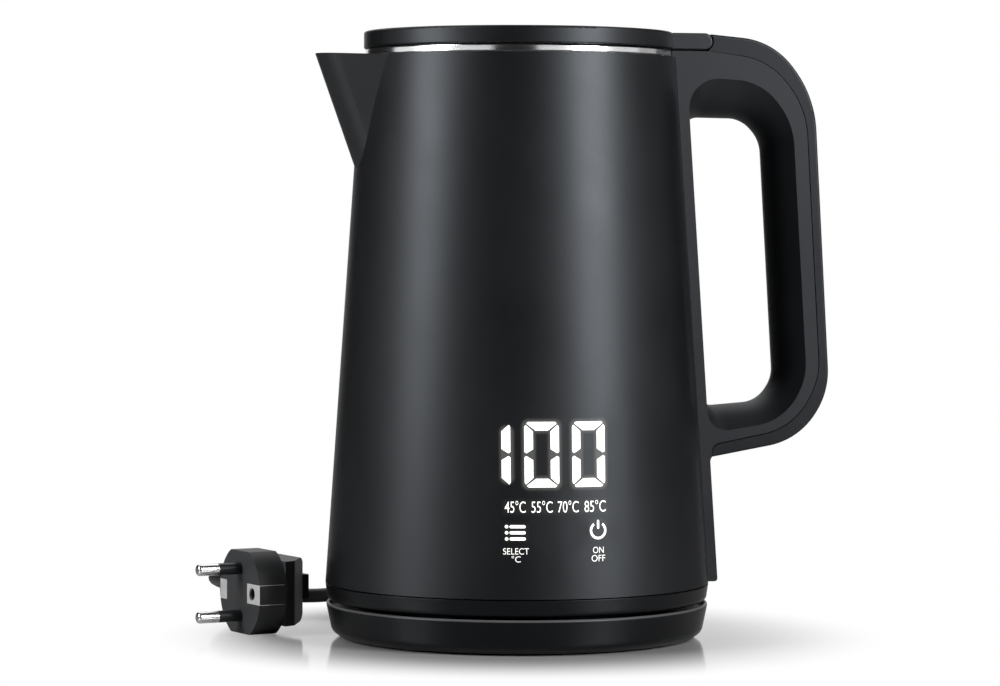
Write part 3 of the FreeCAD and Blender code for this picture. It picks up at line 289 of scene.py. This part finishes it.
# Each box has its place across and up the shell, then half its width and half its height. Those of the
# digits follow the middle of the bars, and the others hold the row of temperatures and the two keys.
digit_boxes = ((one_place, digit_middle, *one_half), (digit_last - digit_pitch, digit_middle, *nought_half),
               (digit_last, digit_middle, *nought_half))
key_boxes = ((-0.0003, 0.0574, 0.0195, 0.002), (-0.0158, 0.0476, 0.0035, 0.0026),
             (0.0162, 0.0484, 0.0028, 0.003))
digit_glow, digit_fade = 0.09, (0.0015, 0.0034)
key_glow, key_fade = 0.012, (-0.0005, 0.0018)
front_fade = (-0.05, -0.03)


def lit_white(name, strength):
    """A lamp's white behind clear plastic."""
    material, shader, place = new_finish(name, Emission_Strength=strength, Base_Color=(0.8, 0.8, 0.78, 1))
    cloud = noise(place, 180.0)
    feed(shader["Roughness"], cloud * 0.12 + 0.24)
    feed(shader["Emission Color"], two_tone(between(cloud, 0.3, 0.7), (0.92, 0.91, 0.86), (1.0, 0.99, 0.94)))
    return material


def box_distance(place, x, z, half_width, half_height):
    """Distance in metres from the edge of a box on the shell's front, less than 0 inside it."""
    off = place.vector("MULTIPLY_ADD", (1, 0, 1), (-x, 0, -z)).vector("ABSOLUTE")
    off = off.vector("SUBTRACT", (half_width, 0, half_height))
    beyond = off.vector("MAXIMUM", (0, 0, 0)).vector("LENGTH", output=1)
    inside = off.math("MAXIMUM", off.axis(0), off.axis(2))
    return beyond + off.math("MINIMUM", inside, 0.0)


def spilled_light(place):
    """Brightness of the shell round the bars: strong close to a digit, faint round the words and keys."""
    glow = 0.0
    for box in digit_boxes:
        distance = box_distance(place, *box)
        glow = between(distance.math("ABSOLUTE", distance), *digit_fade, digit_glow, 0) + glow
    for box in key_boxes:
        glow = between(box_distance(place, *box), *key_fade, key_glow, 0) + glow
    return glow * between(place.axis(1), *front_fade, 1, 0)


dress(lit_white("digit_light", 0.98), "display_digits")
icon_light = lit_white("icon_light", 0.95)
dress(icon_light, "touch_icons")
feed(shell_shader["Emission Color"], two_tone(spilled_light(shell_place), (0, 0, 0), (1, 1, 0.9)))
shell_shader["Emission Strength"].default_value = 1.0


# Words: thin lit films on the shell, a row of temperatures over the keys and two short lines under each.
# Each word is cast from the plain built-in type, fitted to its box and bent to the wall, half sunk in it.

shell_bottom, shell_bottom_radius = 0.0222, 0.0766
shell_top, shell_top_radius = 0.2312, 0.0625
shell_taper = (shell_bottom_radius - shell_top_radius) / (shell_top - shell_bottom)
film_half = 0.00003
type_thinning = -0.005


def word_on_wall(film, text, left, right, low, high):
    """Add a word to the film so that it fills the box. Its two faces become the film's inside and outside."""
    curve = bpy.data.curves.new(text, "FONT")
    curve.body = text
    curve.extrude = 0.5
    curve.offset = type_thinning
    letters = bpy.data.objects.new(text, curve)
    bpy.context.collection.objects.link(letters)
    bpy.context.view_layer.update()
    flat = bpy.data.meshes.new_from_object(letters.evaluated_get(bpy.context.evaluated_depsgraph_get()))
    bpy.data.objects.remove(letters)
    bpy.data.curves.remove(curve)
    corners = [vert.co.copy() for vert in flat.vertices]
    first = [min(corner[i] for corner in corners) for i in range(2)]
    last = [max(corner[i] for corner in corners) for i in range(2)]
    for vert, corner in zip(flat.vertices, corners):
        across, up = [(corner[i] - first[i]) / (last[i] - first[i]) for i in range(2)]
        x = left + (right - left) * across
        z = low + (high - low) * up
        wall = shell_bottom_radius - shell_taper * (z - shell_bottom)
        radius = wall + math.copysign(film_half, corner.z)
        vert.co = (x, -math.sqrt(radius ** 2 - x ** 2), z)
    film.from_mesh(flat)
    bpy.data.meshes.remove(flat)


def lit_film(name, words, finish):
    """Cast words, each with the sides of its box, as one film on the kettle."""
    film = bmesh.new()
    for word in words:
        word_on_wall(film, *word)
    bmesh.ops.remove_doubles(film, verts=film.verts, dist=0.000001)
    bmesh.ops.recalc_face_normals(film, faces=film.faces)
    data = bpy.data.meshes.new(name)
    film.to_mesh(data)
    film.free()
    data.materials.append(finish)
    made = bpy.data.objects.new(name, data)
    bpy.context.collection.objects.link(made)
    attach(made, "kettle")


celsius = "\u00b0C"
row_low, row_high = 0.0552, 0.0597
row = (("45", -0.02, -0.0122), ("55", -0.01, -0.0019), ("70", 0.0001, 0.0084), ("85", 0.01075, 0.0194))
temperatures = [(number + celsius, left, right, row_low, row_high) for number, left, right in row]
lit_film("temperature_row", temperatures, icon_light)
lit_film("key_labels", [("SELECT", -0.02075, -0.01115, 0.03935, 0.04175),
                        (celsius, -0.01765, -0.01425, 0.0364, 0.0388),
                        ("ON", 0.014, 0.0184, 0.03945, 0.04185),
                        ("OFF", 0.0134, 0.019, 0.0363, 0.03875)], lit_white("label_light", 0.6))


# Mains lead: a round three-core flex of black rubber, 6 mm thick. It leaves the gland behind the base, is
# wound in a flat coil of two layers with a band, and runs round the base to the plug.

cord_width = 0.006
gland_tip = Vector((0, 0.1044, 0.0064))
coil_centre = Vector((0.036, 0.168, 0))
coil_radius, coil_step, coil_lift = 0.0363, 0.0066, 0.0041
coil_turns_in, coil_turns_climb, coil_turns = 1.0, 0.5, 2.75
points_per_turn = 20
plug_tail = Vector((-0.10398, 0.07773, 0.0168))
plug_turn = math.radians(198)
plug_heading = Vector((math.sin(plug_turn), -math.cos(plug_turn), 0))
plug_straight = 0.0175


def coil_point(turn):
    """Middle of the flex after this many turns: in on the table, up a layer, then out on top."""
    share = min(max((turn - coil_turns_in) / coil_turns_climb, 0), 1)
    turns_out = max(turn - coil_turns_in - coil_turns_climb, 0) - coil_turns_climb * share * (1 - share)
    radius = coil_radius + coil_step * (turns_out - min(turn, coil_turns_in))
    # The curve touches the middle of each line between its points, so they stand a little further out.
    radius /= math.cos(math.pi / points_per_turn)
    height = coil_lift + coil_step * share ** 2 * (3 - 2 * share)
    angle = math.pi - 2 * math.pi * turn
    return coil_centre + Vector((radius * math.cos(angle), radius * math.sin(angle), height))


route = [gland_tip, Vector((0, 0.112, 0.0063)), Vector((-0.0002, 0.121, 0.0045)),
         Vector((-0.0006, 0.136, 0.0041)), Vector((-0.0004, 0.148, 0.0041))]
route += [coil_point(i / points_per_turn) for i in range(int(coil_turns * points_per_turn) + 1)]
route += [Vector((0.014, 0.1298, 0.0107)), Vector((-0.01, 0.1299, 0.011)), Vector((-0.034, 0.1314, 0.0066)),
          Vector((-0.059, 0.1342, 0.0033)), Vector((-0.0795, 0.1335, 0.0048)),
          Vector((-0.0955, 0.1253, 0.009)), Vector((-0.1066, 0.1116, 0.0138)),
          plug_tail + plug_heading * plug_straight, plug_tail]

flex_curve = bpy.data.curves.new("mains_lead", "CURVE")
flex_curve.dimensions = "3D"
flex_curve.bevel_depth = cord_width / 2
flex_curve.bevel_resolution = 5
flex_curve.use_fill_caps = True
line = flex_curve.splines.new("NURBS")
line.points.add(len(route) - 1)
for point, place in zip(line.points, route):
    point.co = (*place, 1)
line.order_u = 3
line.use_endpoint_u = True
line.resolution_u = 4
mains_lead = bpy.data.objects.new("mains_lead", flex_curve)
bpy.context.collection.objects.link(mains_lead)
flex_rubber = rubber("flex_rubber", (0.011, 0.011, 0.0115), (0.016, 0.016, 0.0165), rough=0.42, grain=1600.0)
flex_curve.materials.append(flex_rubber)
dress(flex_rubber, "cord_gland")
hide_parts("cord_to_coil", "cord_coil", "cord_to_plug")
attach(mains_lead, "power_base")


# Plug: one moulding of dark grey rubber over the pins, with a ribbed relief where the lead comes in. The
# pins are nickel-plated, black sleeves cover their roots, and two bent strips take the earth.

dress(rubber("plug_grey", (0.026, 0.027, 0.029), (0.036, 0.037, 0.039), rough=0.5, grain=1200.0),
      "plug_body", "plug_strain_relief")
dress(moulded_plastic("sleeve_black", (0.01, 0.01, 0.01), (0.015, 0.015, 0.015), rough=0.35, grain=900.0),
      "plug_pin_sleeves")
dress(turned_metal("plug_nickel", (0.66, 0.66, 0.66), (0.8, 0.8, 0.79), rough=0.16), "plug_pins")
dress(turned_metal("earth_nickel", (0.86, 0.86, 0.86), (0.95, 0.95, 0.94), rough=0.46), "plug_earth_contacts")


# Studio: a white floor that fades into a white surround. Two tall strips make the soft bands down the
# shell, low cards light the rim, a box overhead lights the lid, a card behind shows in the floor, and the
# camera stands low in front.

camera_side = math.radians(-12.0)


def bearing(degrees, distance, height):
    """A place round the kettle, by its angle to the right of the camera's side."""
    angle = camera_side + math.radians(degrees - 90)
    return (distance * math.cos(angle), distance * math.sin(angle), height)


def soft_box(name, place, aim, width, height, power):
    """An area lamp that faces its aim, with its size in metres and its power in watts."""
    lamp = bpy.data.lights.new(name, "AREA")
    lamp.shape = "RECTANGLE"
    lamp.size, lamp.size_y, lamp.energy = width, height, power
    stand = bpy.data.objects.new(name, lamp)
    stand.location = place
    stand.rotation_euler = (Vector(aim) - Vector(place)).to_track_quat("-Z", "Y").to_euler()
    bpy.context.collection.objects.link(stand)


lamp_distance, strip_height, card_height = 1.2, 0.6, 0.3
strips = (("left_strip", -65.5, 0.48, 14.5), ("right_strip", 53, 0.5, 21.5))
rim_cards = ((-83, 0.34), (-40, 0.34), (35, 0.34), (78, 0.3), (121, 0.15))
for name, degrees, width, power in strips:
    soft_box(name, bearing(degrees, lamp_distance, strip_height), aim=(0, 0, 0.2),
             width=width, height=0.8, power=power)
for number, (degrees, power) in enumerate(rim_cards):
    soft_box("rim_card_%d" % number, bearing(degrees, lamp_distance, card_height), aim=(0, 0, 0.23),
             width=0.95, height=0.1, power=power)
soft_box("top_box", (0, 0.85, 1.2), aim=(0, 0, 0.1), width=1.6, height=1.2, power=9.0)
soft_box("back_card", (0.39, 1.86, 0.5), aim=(0, 0, 0.3), width=1.7, height=1.0, power=4.5)


def seen_by_camera(tree):
    """1 for what the camera sees itself, 0 for light and reflections."""
    return Value(tree.nodes.new("ShaderNodeLightPath").outputs["Is Camera Ray"])


world = bpy.data.worlds.new("surround")
world.use_nodes = True
bpy.context.scene.world = world
surround = two_tone(seen_by_camera(world.node_tree), (0.012, 0.012, 0.012), (1, 1, 1))
feed(world.node_tree.nodes["Background"].inputs["Color"], surround)

floor_radius = 6.0
base_fade, coil_fade = (0.078, 0.15), (0.042, 0.062)


def white_floor():
    """Glossy near the base and the coil, where it shows their reflection, and plain white beyond."""
    material, shader, place = new_finish("white_floor", Roughness=0.1, Specular_IOR_Level=0.5)
    feed(shader["Base Color"], (0.45, 0.45, 0.45, 1))
    tree = material.node_tree
    from_base = between(place.vector("LENGTH", output=1), *base_fade)
    from_coil = between(place.vector("DISTANCE", coil_centre, output=1), *coil_fade)
    share = from_base * from_coil * seen_by_camera(tree)
    glossy = Value(tree.nodes["Principled BSDF"].outputs[0])
    white = place.node("Emission", {}, {"Color": (1, 1, 1, 1), "Strength": 1.0})
    feed(tree.nodes["Material Output"].inputs["Surface"],
         place.node("MixShader", {}, {0: share, 1: glossy, 2: white}))
    return material


floor_mesh = bmesh.new()
bmesh.ops.create_circle(floor_mesh, cap_ends=True, radius=floor_radius, segments=96)
floor_data = bpy.data.meshes.new("floor")
floor_mesh.to_mesh(floor_data)
floor_mesh.free()
floor_data.materials.append(white_floor())
floor = bpy.data.objects.new("floor", floor_data)
bpy.context.collection.objects.link(floor)

picture_width, focal_pixels = 1000, 3754
camera_distance, camera_height = 1.5, 0.1679
yaw, pitch, roll = math.radians(0.268), math.radians(-1.931), math.radians(0.173)
camera_data = bpy.data.cameras.new("camera")
camera_data.sensor_width = 36.0
camera_data.lens = focal_pixels / picture_width * camera_data.sensor_width
camera = bpy.data.objects.new("camera", camera_data)
camera.location = bearing(0, camera_distance, camera_height)
ahead = Quaternion((0, 0, 1), camera_side + yaw) @ Quaternion((1, 0, 0), math.pi / 2 + pitch)
camera.rotation_mode = "QUATERNION"
camera.rotation_quaternion = ahead @ Quaternion((0, 0, 1), roll)
bpy.context.collection.objects.link(camera)
bpy.context.scene.camera = camera
bpy.context.scene.view_settings.view_transform = "Standard"
